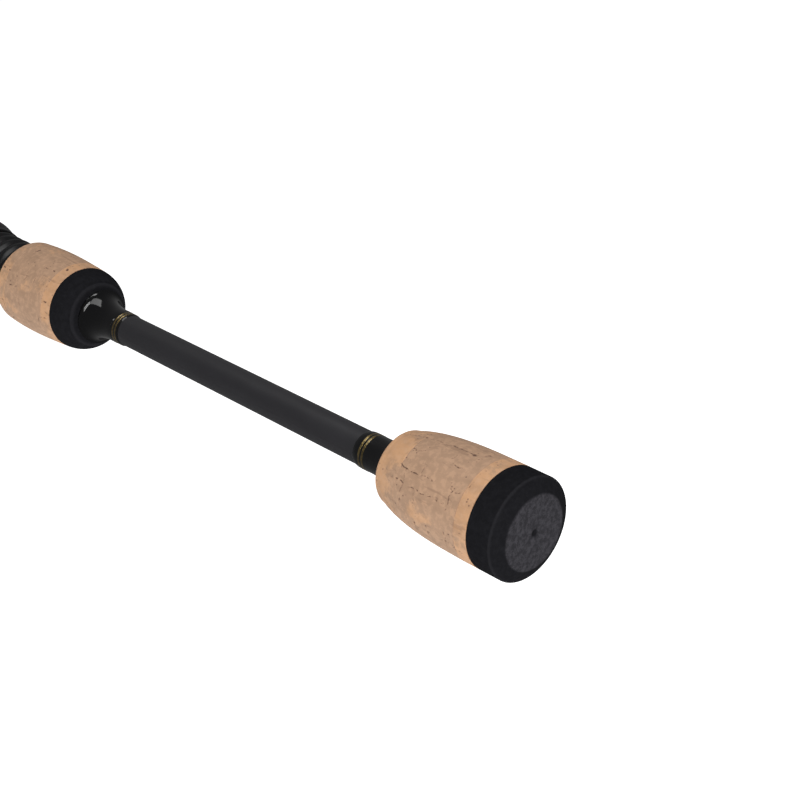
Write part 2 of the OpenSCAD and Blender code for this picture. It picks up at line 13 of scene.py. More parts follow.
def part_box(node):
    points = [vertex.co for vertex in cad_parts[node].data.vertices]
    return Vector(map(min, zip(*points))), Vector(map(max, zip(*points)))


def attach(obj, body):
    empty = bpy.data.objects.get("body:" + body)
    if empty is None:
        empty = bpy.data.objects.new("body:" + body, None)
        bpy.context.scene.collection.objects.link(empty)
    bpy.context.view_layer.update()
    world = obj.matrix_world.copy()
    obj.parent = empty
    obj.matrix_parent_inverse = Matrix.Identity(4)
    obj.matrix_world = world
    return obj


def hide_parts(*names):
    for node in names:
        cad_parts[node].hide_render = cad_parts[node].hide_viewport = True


bl_info = {
    "name": "Ice Fishing Rod",
    "version": (1, 0, 0),
    "blender": (4, 5, 0),
    "location": "View3D > Sidebar > Rod",
    "description": "Builds the looks of a split-grip ice fishing rod round its fixed frame",
    "category": "Object",
}

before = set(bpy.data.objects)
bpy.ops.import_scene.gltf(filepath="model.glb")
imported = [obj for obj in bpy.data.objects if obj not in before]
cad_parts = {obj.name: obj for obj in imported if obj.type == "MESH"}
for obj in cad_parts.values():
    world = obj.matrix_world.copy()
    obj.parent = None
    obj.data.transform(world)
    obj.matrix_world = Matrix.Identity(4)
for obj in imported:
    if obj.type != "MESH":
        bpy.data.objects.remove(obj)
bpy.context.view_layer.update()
MM = 0.001

# The camera's place and line of sight, the point that the lights aim at and the world's brightness
CAMERA_AT = (-0.2204, 0.2523, 0.1963)
CAMERA_LOOK = (0.6555, -0.6178, -0.4344)
LIGHT_AIM = (0.06, 0, 0)
WORLD_STRENGTH = 0.16

# The soft lights: name, place, width and height, and share of the key light's power
SOFTBOXES = [
    ("strip_left", (-0.42, 0.62, 0.62), (0.09, 0.7), 0.5),
    ("strip_right", (-0.60, 0.46, 0.62), (0.09, 0.7), 0.5),
    ("overhead", (0.1, 0.1, 0.95), (0.9, 0.5), 0.7),
    ("side", (-0.75, -0.35, 0.3), (0.12, 0.6), 0.25),
]


# ---- Places, read from the frame ----


def station(node):
    """Where a node starts and ends along the rod."""
    low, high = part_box(node)
    return low[0], high[0]


def radius(node):
    """The radius of a round node."""
    low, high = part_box(node)
    return (high[1] - low[1]) / 2


# ---- Settings ----


def length(name, description, default):
    """A size in metres with two limits round its default."""
    return bpy.props.FloatProperty(
        name=name,
        description=description,
        default=default,
        min=default / 4,
        max=default * 4,
        precision=5,
        subtype="DISTANCE",
        unit="LENGTH",
    )


def colour(name, description, default):
    """A colour without alpha."""
    return bpy.props.FloatVectorProperty(
        name=name, description=description, default=default, size=3, min=0.0, max=1.0, subtype="COLOR"
    )


class RodShape(bpy.types.PropertyGroup):
    """Sizes of the pieces that are modelled here."""

    foam_fillet: length("Foam fillet", "Rounding of the foam pieces' edges", 0.45 * MM)
    cork_pit_depth: length("Cork pit depth", "Depth of the pores and cracks in the cork", 0.3 * MM)
    thread_pitch: length("Thread pitch", "Distance between the crests of the seat's thread", 4.8 * MM)
    thread_depth: length("Thread depth", "Depth of the seat's thread", 0.9 * MM)


class RodFinish(bpy.types.PropertyGroup):
    """Colours of the finishes."""

    cork_pale: colour("Pale cork", "Colour of the long cork rings", (0.415, 0.258, 0.163))
    cork_warm: colour("Warm cork", "Colour of the thin cork rings", (0.57, 0.32, 0.168))
    cork_pit: colour("Cork pits", "Colour inside the pores and cracks", (0.13, 0.07, 0.045))
    foam_side: colour("Foam", "Colour of the moulded foam", (0.0088, 0.0088, 0.0102))
    foam_ground: colour("Ground foam", "Colour of the foam's ground end face", (0.036, 0.0348, 0.0395))
    epoxy: colour("Wrap", "Colour of the thread under the epoxy", (0.0022, 0.0022, 0.0026))
    gold: colour("Gold", "Colour of the gold thread", (0.38, 0.27, 0.09))
    tube: colour("Tube", "Colour of the matt handle tube", (0.0135, 0.013, 0.0155))
    seat: colour("Seat", "Colour of the reel seat", (0.0042, 0.0042, 0.0048))
    metal: colour("Guide metal", "Colour of the guides' metal", (0.13, 0.13, 0.14))


class RodStage(bpy.types.PropertyGroup):
    """Camera, floor and lights."""

    lens: bpy.props.FloatProperty(
        name="Lens", description="Focal length", default=72.26, min=20.0, max=200.0, unit="CAMERA"
    )
    floor_drop: length("Floor drop", "Height of the rod's axis above the floor", 0.22)
    key_power: bpy.props.FloatProperty(
        name="Key light", description="Power of the key light", default=6.0, min=0.0, max=100.0, unit="POWER"
    )
    floor_glow: bpy.props.FloatProperty(
        name="Floor glow", description="How much the lit floor glows", default=0.85, min=0.0, max=3.0
    )


# ---- Shader maths ----


class Value:
    """A socket in a material that can be used in sums."""

    def __init__(self, maker, socket):
        self.maker = maker
        self.socket = socket

    def __add__(self, other):
        return self.maker.math("ADD", self, other)

    __radd__ = __add__

    def __sub__(self, other):
        return self.maker.math("SUBTRACT", self, other)

    def __rsub__(self, other):
        return self.maker.math("SUBTRACT", other, self)

    def __mul__(self, other):
        return self.maker.math("MULTIPLY", self, other)

    __rmul__ = __mul__

    def __abs__(self):
        return self.maker.math("ABSOLUTE", self)


class Maker:
    """Builds one material."""

    def __init__(self, name, base=(0.5, 0.5, 0.5), **fixed):
        self.material = bpy.data.materials.new(name)
        self.material.use_nodes = True
        self.tree = self.material.node_tree
        self.shader = self.tree.nodes["Principled BSDF"]
        self.shader.inputs["Base Color"].default_value = (*base, 1)
        for socket, number in fixed.items():
            self.shader.inputs[socket.replace("_", " ")].default_value = number
        self.place = self.node("ShaderNodeTexCoord", output="Object")

    def node(self, kind, settings=None, inputs=None, output=0):
        """Adds a node, with its settings first and then its inputs, and gives one output."""
        made = self.tree.nodes.new(kind)
        for key, setting in (settings or {}).items():
            setattr(made, key, setting)
        for key, given in (inputs or {}).items():
            if isinstance(given, Value):
                self.tree.links.new(given.socket, made.inputs[key])
            else:
                made.inputs[key].default_value = given
        return Value(self, made.outputs[output])

    def math(self, operation, *numbers):
        return self.node("ShaderNodeMath", {"operation": operation}, dict(enumerate(numbers)))

    def ramp(self, value, low, high):
        """0 below low, 1 above high and a smooth slope between them."""
        inputs = {"Value": value, "From Min": low, "From Max": high}
        return self.node("ShaderNodeMapRange", {"interpolation_type": "SMOOTHSTEP"}, inputs)

    def mix(self, share, first, second):
        """A colour between two colours."""
        pair = [c if isinstance(c, Value) else (*c, 1) for c in (first, second)]
        settings = {"data_type": "RGBA"}
        return self.node("ShaderNodeMix", settings, {0: share, 6: pair[0], 7: pair[1]}, output=2)

    def stretched(self, x, y, z):
        """Object coordinates, scaled along each axis."""
        return self.node("ShaderNodeVectorMath", {"operation": "MULTIPLY"}, {0: self.place, 1: (x, y, z)})

    def noise(self, scale, detail=2.0, rough=0.5, place=None, warp=0.0):
        inputs = {
            "Vector": place or self.place,
            "Scale": scale,
            "Detail": detail,
            "Roughness": rough,
            "Distortion": warp,
        }
        return self.node("ShaderNodeTexNoise", None, inputs)

    def axis(self, name):
        """One coordinate of the object's place."""
        return self.node("ShaderNodeSeparateXYZ", None, {0: self.place}, output=name)

    def bump(self, height, distance, strength=1.0):
        inputs = {"Height": height, "Distance": distance, "Strength": strength}
        self.drive("Normal", self.node("ShaderNodeBump", None, inputs))

    def drive(self, socket, value):
        self.tree.links.new(value.socket, self.shader.inputs[socket])


def finishes():
    return bpy.context.scene.rod_finish


def shape():
    return bpy.context.scene.rod_shape


# ---- Finishes ----


def made_once(build):
    """Keeps the material that a finish function builds."""

    def get(*given):
        name = "_".join(["finish", build.__name__, *map(str, given)])
        return bpy.data.materials.get(name) or build(name, *given)

    return get


@made_once
def cork(name, warmth):
    """Sanded cork: mottled, with pores and wavy cracks that run mostly along the rod."""
    tint = finishes()
    make = Maker(name, Roughness=0.72)
    mottle = make.noise(650, 4.0, 0.62)
    cloud = make.noise(110, 3.0, 0.55, place=make.stretched(0.7, 1.0, 1.0))
    warm = make.ramp(cloud + mottle * 0.35, 0.86 - warmth, 1.02 - warmth)
    ground = make.mix(warm, tint.cork_pale, tint.cork_warm)
    blotch = make.ramp(make.noise(260, 3.0, 0.6, place=make.stretched(0.45, 1.0, 1.0)), 0.38, 0.68)
    ground = make.mix(blotch * 0.38, ground, [c * 0.66 for c in tint.cork_pale])
    grain = make.ramp(mottle, 0.44, 0.62)
    ground = make.mix(grain * 0.38, ground, [min(1, c * 1.4) for c in tint.cork_pale])
    fibre = make.ramp(make.noise(620, 3.0, 0.6, place=make.stretched(0.16, 1.0, 1.0)), 0.58, 0.7)
    pit = make.node("ShaderNodeAttribute", {"attribute_name": "pit"}, output="Fac")
    scattered = {"Vector": make.place, "Scale": 620.0, "Randomness": 1.0}
    speck_cells = make.node("ShaderNodeTexVoronoi", None, scattered)
    few = make.ramp(make.noise(190, 1.0), 0.5, 0.6)
    speck = (1 - make.ramp(speck_cells, 0.10, 0.2)) * few
    dark = make.ramp(pit + speck * 0.55 + fibre * 0.3, 0.05, 0.8)
    make.drive("Base Color", make.mix(dark, ground, tint.cork_pit))
    make.bump(mottle * 0.5 - speck * 0.8 - fibre * 0.5, 0.12 * MM, 0.7)
    return make.material


@made_once
def foam(name):
    """Closed-cell foam with a fine, velvety grain, lighter where it is ground flat, and with painted
    highlights on the middle ring's ridge crest and along the butt chamfer's edge.
    """
    tint = finishes()
    make = Maker(name, Roughness=0.78, Specular_IOR_Level=0.01)
    cells = make.noise(2600, 3.0, 0.7)
    patch = make.noise(720, 4.0, 0.65)
    x = make.axis("X")
    end = 1 - make.ramp(x, 0.0, 0.35 * MM)
    # Painted highlight: a band round the middle foam ring's ridge crest is lightened with the ground-foam
    # colour to stand in for sheen on the rounded crest.
    crest_at = station("mid_foam_ring")[0] + 1.15 * MM
    crest = 1 - make.ramp(abs(x - crest_at), 0.1 * MM, 0.45 * MM)
    scuff = make.ramp(patch + cells * 0.4, 0.5, 1.0)
    side = make.mix(scuff * 0.55, tint.foam_side, [c * 1.9 for c in tint.foam_side])
    side = make.mix(crest * 0.22, side, tint.foam_ground)
    blotch = make.ramp(patch * 0.65 + cells * 0.35, 0.42, 0.6)
    flat = make.mix(blotch, [c * 0.72 for c in tint.foam_ground], [c * 1.3 for c in tint.foam_ground])
    # Painted highlight: a thin band along the butt chamfer's edge is lightened with the ground-foam colour to
    # stand in for a glint; the lower roughness there is the edge's real burnish.
    edge = 1 - make.ramp(abs(x - butt_chamfer()[0]), 0.08 * MM, 0.4 * MM)
    side = make.mix(edge * 0.22, side, tint.foam_ground)
    make.drive("Base Color", make.mix(end, side, flat))
    make.drive("Roughness", 0.85 - edge * 0.5)
    make.bump(cells, 0.05 * MM, 0.5)
    return make.material


@made_once
def gloss_epoxy(name):
    """Black winding thread under a thick clear coat."""
    coat = {"Coat_Weight": 0.8, "Coat_Roughness": 0.03}
    make = Maker(name, finishes().epoxy, Roughness=0.34, Specular_IOR_Level=0.1, **coat)
    turns = make.math("SINE", make.axis("X") * (2 * math.pi / (0.28 * MM)))
    make.bump(turns * 0.5 + make.noise(900, 2.0) * 0.4, 0.02 * MM, 0.5)
    return make.material


@made_once
def gold_thread(name):
    """Metallic gold thread with its twist."""
    tint = finishes().gold
    make = Maker(name, tint, Metallic=1.0, Roughness=0.3, Coat_Weight=1.0, Coat_Roughness=0.04)
    glint = make.ramp(make.noise(1500, 2.0), 0.35, 0.7)
    make.drive("Base Color", make.mix(glint, [c * 0.45 for c in tint], tint))
    make.bump(glint, 0.04 * MM, 0.6)
    return make.material


@made_once
def matt_lacquer(name):
    """Matt black lacquer on the handle tube."""
    tint = finishes().tube
    make = Maker(name, tint, Coat_Weight=0.2, Coat_Roughness=0.35)
    fine = make.noise(2200, 3.0, 0.6)
    wear = make.ramp(make.noise(160, 4.0, 0.6, place=make.stretched(0.3, 1.0, 1.0)), 0.4, 0.7)
    make.drive("Base Color", make.mix(wear * 0.5, tint, [c * 1.35 for c in tint]))
    make.drive("Roughness", 0.43 + wear * 0.07 + fine * 0.06)
    make.bump(fine, 0.012 * MM, 0.5)
    return make.material


@made_once
def gloss_lacquer(name):
    """Polished black, as on the winding checks."""
    tint = [c * 0.9 for c in finishes().epoxy]
    make = Maker(name, tint, Specular_IOR_Level=0.3, Coat_Weight=0.3, Coat_Roughness=0.03)
    haze = make.noise(420, 3.0, 0.6)
    make.drive("Roughness", 0.07 + haze * 0.07)
    make.bump(haze, 0.004 * MM, 0.4)
    return make.material


@made_once
def seat_plastic(name):
    """Satin moulded plastic with a fine grain and polished high spots."""
    tint = finishes().seat
    make = Maker(name, tint, Specular_IOR_Level=0.3)
    grain = make.noise(1900, 3.0, 0.6)
    rub = make.ramp(make.noise(130, 4.0, 0.6), 0.42, 0.66)
    make.drive("Base Color", make.mix(rub * 0.5, tint, [c * 1.7 for c in tint]))
    make.drive("Roughness", 0.34 - rub * 0.08 + grain * 0.06)
    make.bump(grain, 0.015 * MM, 0.5)
    return make.material


@made_once
def hood_lacquer(name):
    """Satin black hood shells, a little smoother than the seat."""
    tint = finishes().seat
    make = Maker(name, tint, Coat_Weight=0.4, Coat_Roughness=0.12)
    rub = make.ramp(make.noise(170, 4.0, 0.6), 0.4, 0.66)
    make.drive("Base Color", make.mix(rub * 0.4, tint, [c * 1.5 for c in tint]))
    make.drive("Roughness", 0.34 + rub * 0.1)
    make.bump(make.noise(2400, 2.0), 0.008 * MM, 0.4)
    return make.material


@made_once
def blank_lacquer(name):
    """Dark satin lacquer over wound carbon, whose bands show faintly."""
    tint = [c * 0.45 for c in finishes().tube]
    make = Maker(name, tint, Coat_Weight=0.7, Coat_Roughness=0.1)
    bands = make.math("SINE", make.axis("X") * (2 * math.pi / (1.9 * MM)))
    cloud = make.noise(300, 3.0, 0.6)
    make.drive("Base Color", make.mix(make.ramp(bands + cloud, 0.2, 1.3) * 0.6, tint, [c * 2 for c in tint]))
    make.drive("Roughness", 0.3 + cloud * 0.12)
    make.bump(bands, 0.008 * MM, 0.35)
    return make.material


@made_once
def guide_metal(name):
    """Dark plated steel of the guides' frames."""
    tint = finishes().metal
    make = Maker(name, tint, Metallic=1.0)
    haze = make.noise(700, 3.0, 0.6)
    make.drive("Base Color", make.mix(haze, [c * 0.75 for c in tint], [c * 1.35 for c in tint]))
    make.drive("Roughness", 0.2 + haze * 0.14)
    make.bump(haze, 0.006 * MM, 0.4)
    return make.material


@made_once
def ring_ceramic(name):
    """Polished dark ceramic of the line rings."""
    make = Maker(name, (0.03, 0.032, 0.036), Coat_Weight=0.5, Coat_Roughness=0.02)
    grain = make.noise(1200, 3.0, 0.6)
    make.drive("Base Color", make.mix(grain, (0.018, 0.019, 0.022), (0.045, 0.047, 0.052)))
    make.drive("Roughness", 0.08 + grain * 0.08)
    return make.material


@made_once
def bright_wire(name):
    """Bright steel wire with fine drawing marks."""
    make = Maker(name, (0.62, 0.63, 0.65), Metallic=1.0)
    marks = make.noise(900, 2.0, 0.6, place=make.stretched(0.15, 1.0, 1.0))
    make.drive("Roughness", 0.16 + marks * 0.16)
    make.bump(marks, 0.006 * MM, 0.4)
    return make.material


@made_once
def arbor_foam(name):
    """Plain hard foam of the arbors."""
    make = Maker(name, (0.45, 0.43, 0.38), Roughness=0.9)
    cells = make.noise(1500, 3.0, 0.7)
    make.drive("Base Color", make.mix(cells, (0.36, 0.34, 0.30), (0.52, 0.50, 0.45)))
    make.bump(cells, 0.1 * MM, 0.5)
    return make.material


# ---- Modelling ----


def deselect():
    bpy.ops.object.select_all(action="DESELECT")


def dress(obj, material):
    obj.data.materials.clear()
    obj.data.materials.append(material)


def join_the_rod(obj, material, slot, *nodes, body="rod"):
    """Gives a finished piece its material and its body, and hides the frame nodes it stands for."""
    dress(obj, material)
    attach(obj, body)
    if nodes:
        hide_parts(*nodes)


def turned(name, profile, segments=160, bore=None):
    """A closed round piece along the rod.

    The profile is [(x, radius), ...], and bore closes it along its inside.
    """
    deselect()
    outline = list(profile)
    if bore is not None:
        outline = [(profile[0][0], bore), *profile, (profile[-1][0], bore)]
    (x, r), rest = outline[0], outline[1:]
    bpy.ops.mesh.primitive_circle_add(
        vertices=segments, radius=r, location=(x, 0, 0), rotation=(0, math.pi / 2, 0)
    )
    obj = bpy.context.object
    obj.name = obj.data.name = name
    bpy.ops.object.transform_apply(location=True, rotation=True, scale=True)
    bpy.ops.object.mode_set(mode="EDIT")
    bpy.ops.mesh.select_all(action="SELECT")
    if bore is None:
        bpy.ops.mesh.edge_face_add()
    for next_x, next_r in rest:
        bpy.ops.mesh.extrude_region_move(TRANSFORM_OT_translate={"value": (next_x - x, 0, 0)})
        ratio = next_r / r
        bpy.ops.transform.resize(value=(1, ratio, ratio), center_override=(next_x, 0, 0))
        x, r = next_x, next_r
    if bore is not None:
        bpy.ops.mesh.extrude_region_move(TRANSFORM_OT_translate={"value": (outline[0][0] - x, 0, 0)})
    bpy.ops.mesh.select_all(action="SELECT")
    bpy.ops.mesh.remove_doubles(threshold=1e-7)
    bpy.ops.mesh.normals_make_consistent(inside=False)
    bpy.ops.object.mode_set(mode="OBJECT")
    bpy.ops.object.shade_smooth_by_angle(angle=math.radians(38))
    return obj


def smooth_curve(points, count):
    """A soft curve through given (x, radius) points."""
    xs, rs = zip(*points)
    along = np.linspace(xs[0], xs[-1], count)
    slopes = np.gradient(rs, xs)
    out = []
    for x in along:
        k = min(max(int(np.searchsorted(xs, x)) - 1, 0), len(xs) - 2)
        span = xs[k + 1] - xs[k]
        t = (x - xs[k]) / span
        a, b = rs[k], rs[k + 1]
        bend = (2 * t**3 - 3 * t**2 + 1) * a + (3 * t**2 - 2 * t**3) * b
        bend += span * ((t**3 - 2 * t**2 + t) * slopes[k] + (t**3 - t**2) * slopes[k + 1])
        out.append((float(x), float(bend)))
    return out


def fillet(corner, before, after, size, steps=5):
    """Points that round a profile's corner."""
    corner, before, after = (Vector(p) for p in (corner, before, after))
    start = corner + (before - corner).normalized() * size
    end = corner + (after - corner).normalized() * size
    points = []
    for k in range(steps + 1):
        t = k / steps
        points.append(tuple((1 - t) ** 2 * start + 2 * t * (1 - t) * corner + t**2 * end))
    return points


def rounded(corners, size):
    """A profile whose inner corners are all rounded."""
    out = [corners[0]]
    for before, corner, after in zip(corners, corners[1:], corners[2:]):
        reach = min((Vector(corner) - Vector(before)).length, (Vector(after) - Vector(corner)).length)
        out += fillet(corner, before, after, min(size, reach * 0.45))
    return [*out, corners[-1]]


def butt_chamfer():
    """The chamfer's end on the butt cap's side and on its face."""
    return 2.3 * MM, radius("butt_cap") - 4.2 * MM


def build_cork(name, outline, warmth, node, bore, end_round=0):
    """One cork ring with real pores and cracks in its skin."""
    x0, x1 = station(node)
    curve = smooth_curve(outline, 400)
    xs = [p[0] for p in curve]
    rs = [p[1] for p in curve]

    def skin(x):
        return float(np.interp(x, xs, rs))

    spacing = 0.18 * MM
    edge = 0.12 * MM
    rows = max(6, int((x1 - x0) / spacing))
    stations = [x0 + edge + (x1 - end_round - x0 - edge) * k / rows for k in range(rows + 1)]
    if end_round == 0:
        stations = [s if s < x1 - edge else x1 - edge for s in stations]
    profile = [(x0, skin(x0) - edge), *((x, skin(x)) for x in stations)]
    if end_round:
        shoulder = skin(x1 - end_round)
        for k in range(1, 10):
            angle = math.pi / 2 * k / 9
            profile.append(
                (x1 - end_round + end_round * math.sin(angle), shoulder - end_round * (1 - math.cos(angle)))
            )
    else:
        profile.append((x1, skin(x1) - edge))
    obj = turned(name, profile, segments=480, bore=bore)
    pit_skin(obj, bore, x0, x1)
    join_the_rod(obj, cork(warmth), "cork", node)
    return obj


def step(value, low, high):
    """0 below low, 1 above high."""
    return min(1.0, max(0.0, (value - low) / (high - low)))


def line_of_pores(across, along, lane, gauge):
    """Depth of a broken, wavy line of pores: its lane gives its own wander and its gaps."""
    drift = 0.16 * noise.noise((along * 0.42, lane * 5.7, 1.3))
    wander = drift + 0.05 * noise.noise((along * 1.9, lane * 3.1, 4.9))
    home = 0.5 + 0.28 * noise.noise((lane * 9.7, 0.5, 2.2))
    present = step(noise.noise((along * 0.16, lane * 7.3, 8.8)), 0.0, 0.2)
    broken = step(noise.noise((along * 1.5, lane * 2.9, 5.5)), -0.25, 0.2)
    width = gauge * (0.55 + 0.9 * step(noise.noise((along * 0.7, lane * 4.3, 6.1)), -0.1, 0.5))
    return present * broken * max(0.0, 1 - abs(across - home - wander) / width)


def crack_depth(spot):
    """How deep the cork is pitted at a place, from 0 to 1: lines along the rod, chains round it and pores."""
    along = spot.x / MM
    turn = math.atan2(spot.z, spot.y) / (2 * math.pi) + 0.5
    depth = 0.0
    lanes = 17
    row_pitch = 5.2
    across = turn * lanes
    lane = math.floor(across)
    depth = max(depth, line_of_pores(across - lane, along, lane + 0.37, 0.045))
    rows = along / row_pitch
    row = math.floor(rows)
    depth = max(depth, 0.85 * line_of_pores(rows - row, 88 * turn, row + 60.19, 0.042))
    field = noise.noise(Vector((spot.x * 0.55, spot.y, spot.z)) * 760 + Vector((9.2, 5.3, 1.1)))
    patch = noise.noise(spot * 170 + Vector((1.7, 8.8, 4.2)))
    return max(depth, step(field, 0.46, 0.66) * step(patch, 0.05, 0.3))


def pit_skin(obj, bore, x0, x1):
    """Sinks pores and cracks into a cork ring's skin and notes them in its pit attribute."""
    mesh = obj.data
    depth = shape().cork_pit_depth
    margin = 0.25 * MM
    pits = np.zeros(len(mesh.vertices), dtype=np.float32)
    for vertex in mesh.vertices:
        spot = vertex.co
        out = math.hypot(spot.y, spot.z)
        if out < bore + 0.5 * MM:
            continue
        pit = crack_depth(spot)
        swell = noise.noise(spot * 120) * 0.05 * MM
        pits[vertex.index] = pit
        seam = min(1.0, max(0.0, min(spot.x - x0, x1 - spot.x) / margin))
        scale = (out - pit * depth * seam + swell * seam) / out
        vertex.co = (spot.x, spot.y * scale, spot.z * scale)
    attribute = mesh.attributes.new("pit", "FLOAT", "POINT")
    attribute.data.foreach_set("value", pits)
    mesh.update()


# ---- Operators: the grips ----


class ROD_OT_butt_cap(bpy.types.Operator):
    """Foam butt cap with a chamfer, a ground face and a small hollow"""

    bl_idname = "rod.butt_cap"
    bl_label = "Butt cap"

    def execute(self, context):
        x0, x1 = station("butt_cap")
        r = radius("butt_cap")
        side_x, face_r = butt_chamfer()
        corners = [
            (x0 + 0.45 * MM, 0.02 * MM),
            (x0 + 0.4 * MM, 0.5 * MM),
            (x0, 1.5 * MM),
            (x0, face_r),
            (side_x, r),
            (x1, r),
            (x1, 0.02 * MM),
        ]
        obj = turned("butt_cap_foam", rounded(corners, shape().foam_fillet), segments=192)
        join_the_rod(obj, foam(), "foam", "butt_cap")
        return {"FINISHED"}


class ROD_OT_rear_grip(bpy.types.Operator):
    """Cork rings of the rear grip"""

    bl_idname = "rod.rear_grip"
    bl_label = "Rear grip"

    def execute(self, context):
        x0 = station("rear_cork_ring_1")[0]
        r = radius("butt_cap")
        drop = [0, 0.02, 0.12, 0.35, 0.85, 1.75, 2.5, 3.4]
        at = [0, 6, 11, 17, 23, 28.6, 31.8, 34.6]
        outline = [(x0 + a * MM, r - d * MM) for a, d in zip(at, drop)]
        bore = radius("handle_tube")
        build_cork("rear_cork_end", outline, 0.4, "rear_cork_ring_1", bore)
        build_cork("rear_cork_body", outline, 0.14, "rear_cork_ring_2", bore)
        build_cork("rear_cork_nose", outline, 0.3, "rear_cork_ring_3", bore, 1.9 * MM)
        return {"FINISHED"}


class ROD_OT_middle_grip(bpy.types.Operator):
    """Cork rings of the middle grip"""

    bl_idname = "rod.middle_grip"
    bl_label = "Middle grip"

    def execute(self, context):
        x0 = station("mid_cork_ring_1")[0]
        points = [(0, 13.3), (5, 13.65), (11, 14.0), (18, 14.18), (23, 14.13), (27, 13.94), (30.6, 13.7)]
        outline = [(x0 + x * MM, r * MM) for x, r in points]
        bore = radius("handle_tube")
        build_cork("middle_cork_rear", outline, 0.4, "mid_cork_ring_1", bore)
        build_cork("middle_cork_body", outline, 0.14, "mid_cork_ring_2", bore)
        build_cork("middle_cork_front", outline, 0.25, "mid_cork_ring_3", bore)
        return {"FINISHED"}


class ROD_OT_fore_grip(bpy.types.Operator):
    """Cork rings, foam ring and winding check of the fore grip"""

    bl_idname = "rod.fore_grip"
    bl_label = "Fore grip"

    def execute(self, context):
        x0 = station("fore_cork_ring_1")[0]
        points = [(0, 12.6), (4, 12.85), (8, 12.98), (13, 12.75), (18, 12.2), (24, 11.22)]
        outline = [(x0 + x * MM, r * MM) for x, r in points]
        bore = radius("blank") - 0.01 * MM
        build_cork("fore_cork_body", outline, 0.14, "fore_cork_ring_1", bore)
        build_cork("fore_cork_end", outline, 0.3, "fore_cork_ring_2", bore)
        start, end = station("fore_foam_ring")
        r = radius("fore_foam_ring")
        rim = radius("front_check")
        corners = [
            (start, r - 0.2 * MM),
            (start + 0.2 * MM, r),
            (end - 3.2 * MM, r - 0.4 * MM),
            (end - 0.8 * MM, rim + 0.6 * MM),
            (end, rim - 0.6 * MM),
        ]
        obj = turned("fore_foam", rounded(corners, 1.2 * MM), bore=bore)
        join_the_rod(obj, foam(), "foam", "fore_foam_ring")
        start, end = station("front_check")
        obj = turned("front_check_trumpet", trumpet(end, start, bore + 0.55 * MM, rim), bore=bore)
        join_the_rod(obj, gloss_lacquer(), "gloss_check", "front_check")
        return {"FINISHED"}


def trumpet(neck_x, rim_x, neck_r, rim_r):
    """A winding check's outline, from its neck to its rolled rim."""
    span = rim_x - neck_x
    lip = math.copysign(0.9 * MM, span)
    outline = [(neck_x, neck_r - 0.15 * MM), (neck_x + lip * 0.15, neck_r)]
    for k in range(25):
        angle = math.pi / 2 * k / 24
        x = neck_x + span * 0.22 + (span * 0.78 - lip) * math.sin(angle)
        outline.append((x, neck_r + (rim_r - 0.1 * MM - neck_r) * (1 - math.cos(angle)) ** 0.92))
    for k in range(1, 7):
        angle = math.pi / 2 * k / 6
        lip_r = rim_r - 0.1 * MM - 0.7 * MM * (1 - math.cos(angle))
        outline.append((rim_x - lip + lip * math.sin(angle), lip_r))
    return outline


class ROD_OT_middle_check(bpy.types.Operator):
    """Trumpet winding check and the foam ring behind it"""

    bl_idname = "rod.middle_check"
    bl_label = "Winding check"

    def execute(self, context):
        bore = radius("handle_tube")
        start, end = station("mid_check")
        rim = radius("mid_check")
        obj = turned("middle_check_trumpet", trumpet(start, end, bore + 0.4 * MM, rim), bore=bore)
        join_the_rod(obj, gloss_lacquer(), "gloss_check", "mid_check")
        start, end = station("mid_foam_ring")
        r = radius("mid_foam_ring")
        groove = rim - 0.5 * MM
        points = [
            (start, groove - 0.5 * MM),
            (start + 0.5 * MM, groove),
            (start + 0.9 * MM, r - 3.7 * MM),
            (start + 1.3 * MM, r - 2.9 * MM),
            (start + 2.4 * MM, r - 2.5 * MM),
            (start + 2.8 * MM, r - 1.85 * MM),
            (start + 4.3 * MM, r - 1.02 * MM),
            (start + 5.8 * MM, r - 0.46 * MM),
            (start + 7.3 * MM, r - 0.13 * MM),
            (end - 0.15 * MM, r),
            (end, r - 0.12 * MM),
        ]
        obj = turned("middle_foam", rounded(points, 0.4 * MM), segments=192, bore=bore)
        join_the_rod(obj, foam(), "foam", "mid_foam_ring")
        return {"FINISHED"}


class ROD_OT_wraps(bpy.types.Operator):
    """Epoxied wraps on the handle tube and their gold lines"""

    bl_idname = "rod.wraps"
    bl_label = "Handle wraps"

    def execute(self, context):
        tube = radius("handle_tube")
        start, end = station("rear_wrap")
        lift = [(0, 0.28), (1.2, 0.34), (3.2, 0.5), (5.2, 0.36)]
        lift += [(7, 0.3), (11, 0.3), (13.2, 0.27), (13.9, 0.12)]
        curve = smooth_curve([(start + x * MM, tube + r * MM) for x, r in lift], 60)
        obj = turned("rear_wrap_epoxy", [*curve, (end, tube + 0.02 * MM)], segments=160, bore=tube)
        join_the_rod(obj, gloss_epoxy(), "gloss_wrap", "rear_wrap")
        start, end = station("mid_wrap")
        lift = [(0, 0.02), (0.4, 0.22), (1.0, 0.3), (2.6, 0.31), (3.5, 0.36)]
        curve = smooth_curve([(start + x * MM, tube + r * MM) for x, r in lift], 30)
        obj = turned("middle_wrap_epoxy", curve, segments=160, bore=tube)
        join_the_rod(obj, gloss_epoxy(), "gloss_wrap", "mid_wrap")
        self.gold_pair("rear_gold_lines")
        self.gold_pair("mid_gold_lines")
        return {"FINISHED"}

    def gold_pair(self, node):
        """Two gold lines, each of three turns of thread."""
        start, end = station(node)
        r = radius(node)
        width = (end - start) * 0.36
        for k, x0 in enumerate((start, end - width)):
            points = []
            for j in range(25):
                lift = abs(math.sin(3 * math.pi * j / 24)) ** 0.5
                points.append((x0 + width * j / 24, r - 0.02 * MM + 0.03 * MM * lift))
            obj = turned(f"{node}_{k + 1}", points, segments=160, bore=r - 0.06 * MM)
            join_the_rod(obj, gold_thread(), "gold_thread", node)


# ---- Operators: the reel seat ----


